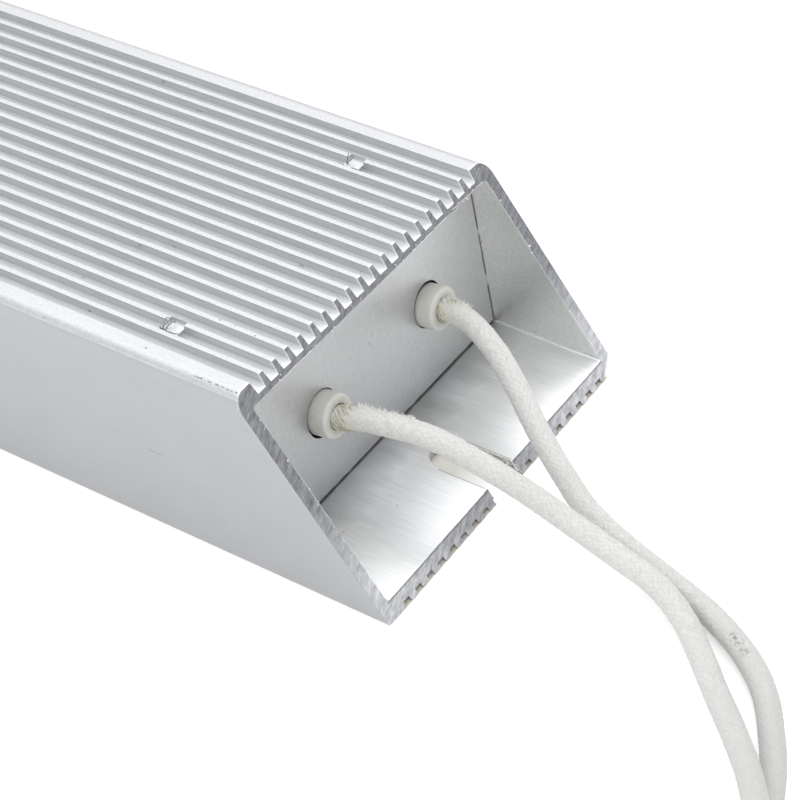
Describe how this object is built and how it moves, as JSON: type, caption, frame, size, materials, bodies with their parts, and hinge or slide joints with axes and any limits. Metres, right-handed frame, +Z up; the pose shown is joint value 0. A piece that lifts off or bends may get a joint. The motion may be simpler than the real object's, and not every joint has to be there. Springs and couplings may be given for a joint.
{
  "type": "aluminium housed power resistor",
  "caption": "Wire-wound power resistor in a finned extruded aluminium housing with sloping sawn ends, slotted mounting feet and braided leads at one end.",
  "frame": {"origin": "middle of the housing's footprint, on its base plane", "axes": "+X along the housing towards the end with the leads, +Y across the housing, +Z up from the base to the fins"},
  "size_m": [0.2322, 0.1187, 0.03],
  "materials": {
    "housing_aluminium": "clear-anodised, satin, with bare sawn ends",
    "plate_aluminium": "satin sheet",
    "bushing": "smooth, off-white",
    "steatite": "matte",
    "core_ceramic": "matte",
    "resistance_ribbon": "oxidised ribbon on a thin coat",
    "cap_steel": "plated",
    "conductor": "bare copper",
    "mica": "pressed sheet",
    "cement": "cast, matte",
    "sand": "packed grains",
    "braid": "braided glass fibre",
    "terminal_metal": "tin-plated"
  },
  "bodies": {
    "root": {"housing": "housing_aluminium", "front_plate": "plate_aluminium", "rear_plate": "plate_aluminium", "bushing_left": "bushing", "bushing_right": "bushing", "front_support": "steatite", "rear_support": "steatite", "core_left": "core_ceramic", "core_right": "core_ceramic", "winding_left": "resistance_ribbon", "winding_right": "resistance_ribbon", "cap_left_front": "cap_steel", "cap_left_rear": "cap_steel", "cap_right_front": "cap_steel", "cap_right_rear": "cap_steel", "series_link": "cap_steel", "inner_wire_left": "conductor", "inner_wire_right": "conductor", "mica_base": "mica", "mica_top": "mica", "mica_left": "mica", "mica_right": "mica", "top_packing": "mica", "front_cement": "cement", "rear_cement": "cement", "sand_filling": "sand", "lead_left": "braid", "lead_right": "braid", "terminal_left": "terminal_metal", "terminal_right": "terminal_metal"}
  },
  "joints": []
}
